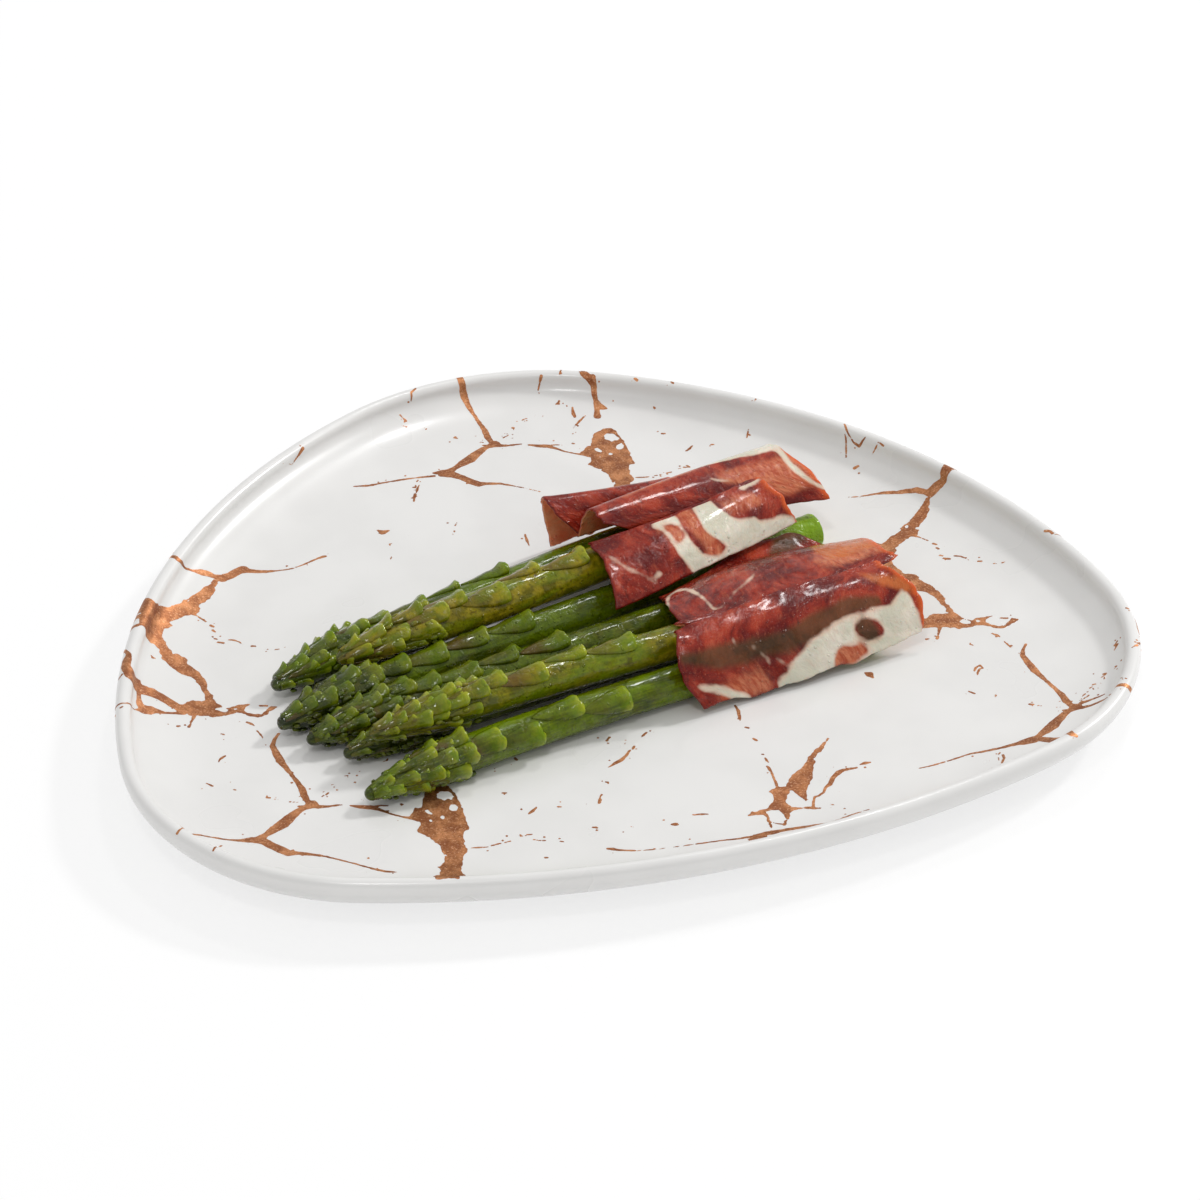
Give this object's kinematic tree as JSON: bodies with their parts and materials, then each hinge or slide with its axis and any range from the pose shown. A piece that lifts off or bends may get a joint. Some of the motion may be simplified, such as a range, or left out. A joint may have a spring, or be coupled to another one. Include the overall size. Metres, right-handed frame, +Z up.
{
  "type": "plate of ham-wrapped asparagus",
  "caption": "Rounded three-cornered coupe plate with asparagus spears lying side by side and stacked, their cut ends draped with thin slices of cured ham.",
  "frame": {"origin": "middle of the plate's outline, on the table", "axes": "+Z up; +Y to the plate's back corner; +X to the right, across the plate's long side"},
  "size_m": [0.3034, 0.2656, 0.0357],
  "materials": {
    "porcelain": "satin white glaze with a rose-copper crackle",
    "asparagus": "cooked and oiled, glossy",
    "ham": "thin, moist and marbled with fat"
  },
  "bodies": {
    "plate": {"plate": "porcelain"},
    "asparagus": {"spear_1": "asparagus", "spear_3": "asparagus", "spear_4": "asparagus", "spear_5": "asparagus", "spear_7": "asparagus"},
    "upper_back_spear": {"spear_2": "asparagus"},
    "upper_front_spear": {"spear_6": "asparagus"},
    "ham_1": {"ham_slice_1": "ham"},
    "ham_2": {"ham_slice_2": "ham"},
    "ham_3": {"ham_slice_3": "ham"},
    "ham_4": {"ham_slice_4": "ham"},
    "ham_5": {"ham_slice_5": "ham"}
  },
  "joints": [
    {"name": "lift_asparagus", "type": "slide", "parent": "plate", "child": "asparagus", "axis": [0, 0, 1], "range_m": [0, 0.06]},
    {"name": "lift_spear_2", "type": "slide", "parent": "asparagus", "child": "upper_back_spear", "axis": [0, 0, 1], "range_m": [0, 0.06]},
    {"name": "lift_spear_6", "type": "slide", "parent": "asparagus", "child": "upper_front_spear", "axis": [0, 0, 1], "range_m": [0, 0.06]},
    {"name": "lift_ham_1", "type": "slide", "parent": "asparagus", "child": "ham_1", "axis": [0, 0, 1], "range_m": [0, 0.06]},
    {"name": "lift_ham_2", "type": "slide", "parent": "upper_back_spear", "child": "ham_2", "axis": [0, 0, 1], "range_m": [0, 0.06]},
    {"name": "lift_ham_3", "type": "slide", "parent": "ham_2", "child": "ham_3", "axis": [0, 0, 1], "range_m": [0, 0.06]},
    {"name": "lift_ham_4", "type": "slide", "parent": "upper_front_spear", "child": "ham_4", "axis": [0, 0, 1], "range_m": [0, 0.06]},
    {"name": "lift_ham_5", "type": "slide", "parent": "ham_4", "child": "ham_5", "axis": [0, 0, 1], "range_m": [0, 0.06]}
  ]
}
